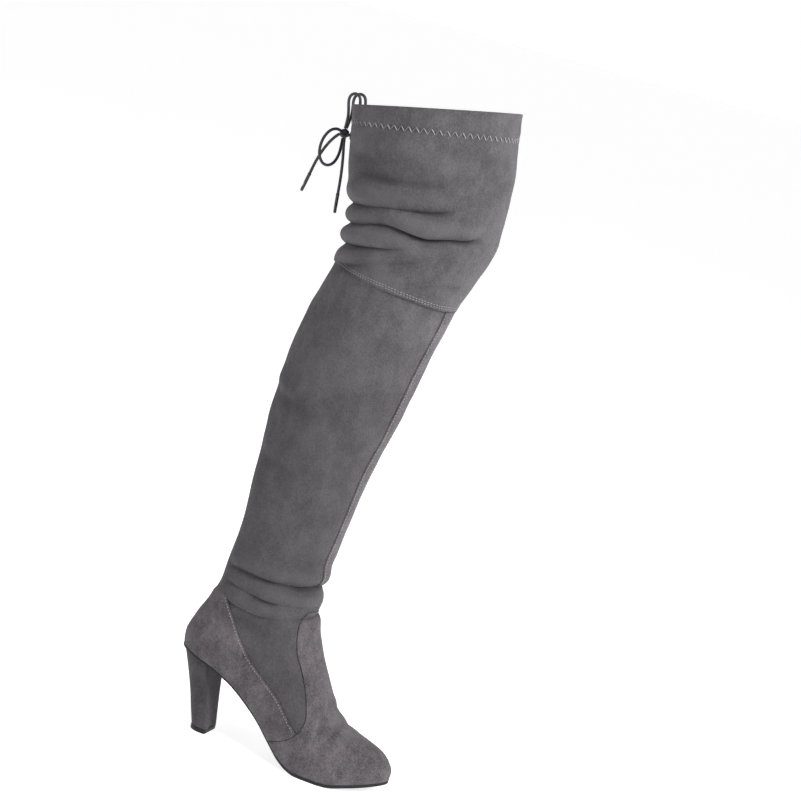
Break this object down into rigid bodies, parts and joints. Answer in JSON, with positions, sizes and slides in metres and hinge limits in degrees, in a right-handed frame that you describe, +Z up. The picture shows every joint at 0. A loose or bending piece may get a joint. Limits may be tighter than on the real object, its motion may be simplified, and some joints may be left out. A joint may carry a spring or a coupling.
{
  "type": "thigh high boot",
  "caption": "Tall suede boot for the right foot with a covered block heel, almond toe, slouched thigh cuff and a cord bow behind.",
  "frame": {"origin": "middle of the heel top piece's resting face, on the floor", "axes": "+X towards the toe, +Y towards the inner side, +Z up"},
  "size_m": [0.2476, 0.1344, 0.6939],
  "materials": {
    "suede": "faux suede with a short brushed nap",
    "suede_panel": "faux suede with a short brushed nap",
    "rubber": "satin black",
    "lining": "knitted lining",
    "cord": "black braided cord with a slight sheen",
    "eyelet": "black satin"
  },
  "bodies": {
    "root": {"upper": "suede", "shaft": "suede", "thigh_cuff": "suede", "vamp_panel": "suede_panel", "counter_panel": "suede_panel", "front_strip": "suede_panel", "hem_band": "lining", "insole": "lining", "outsole": "rubber", "heel": "suede_panel", "heel_top_piece": "rubber", "eyelet_outer": "eyelet", "eyelet_inner": "eyelet", "lace_bar": "cord", "lace_knot": "cord", "lace_high_loop": "cord", "lace_low_loop": "cord", "lace_long_end": "cord", "lace_long_tip": "cord", "lace_short_end": "cord", "lace_short_tip": "cord"}
  },
  "joints": []
}
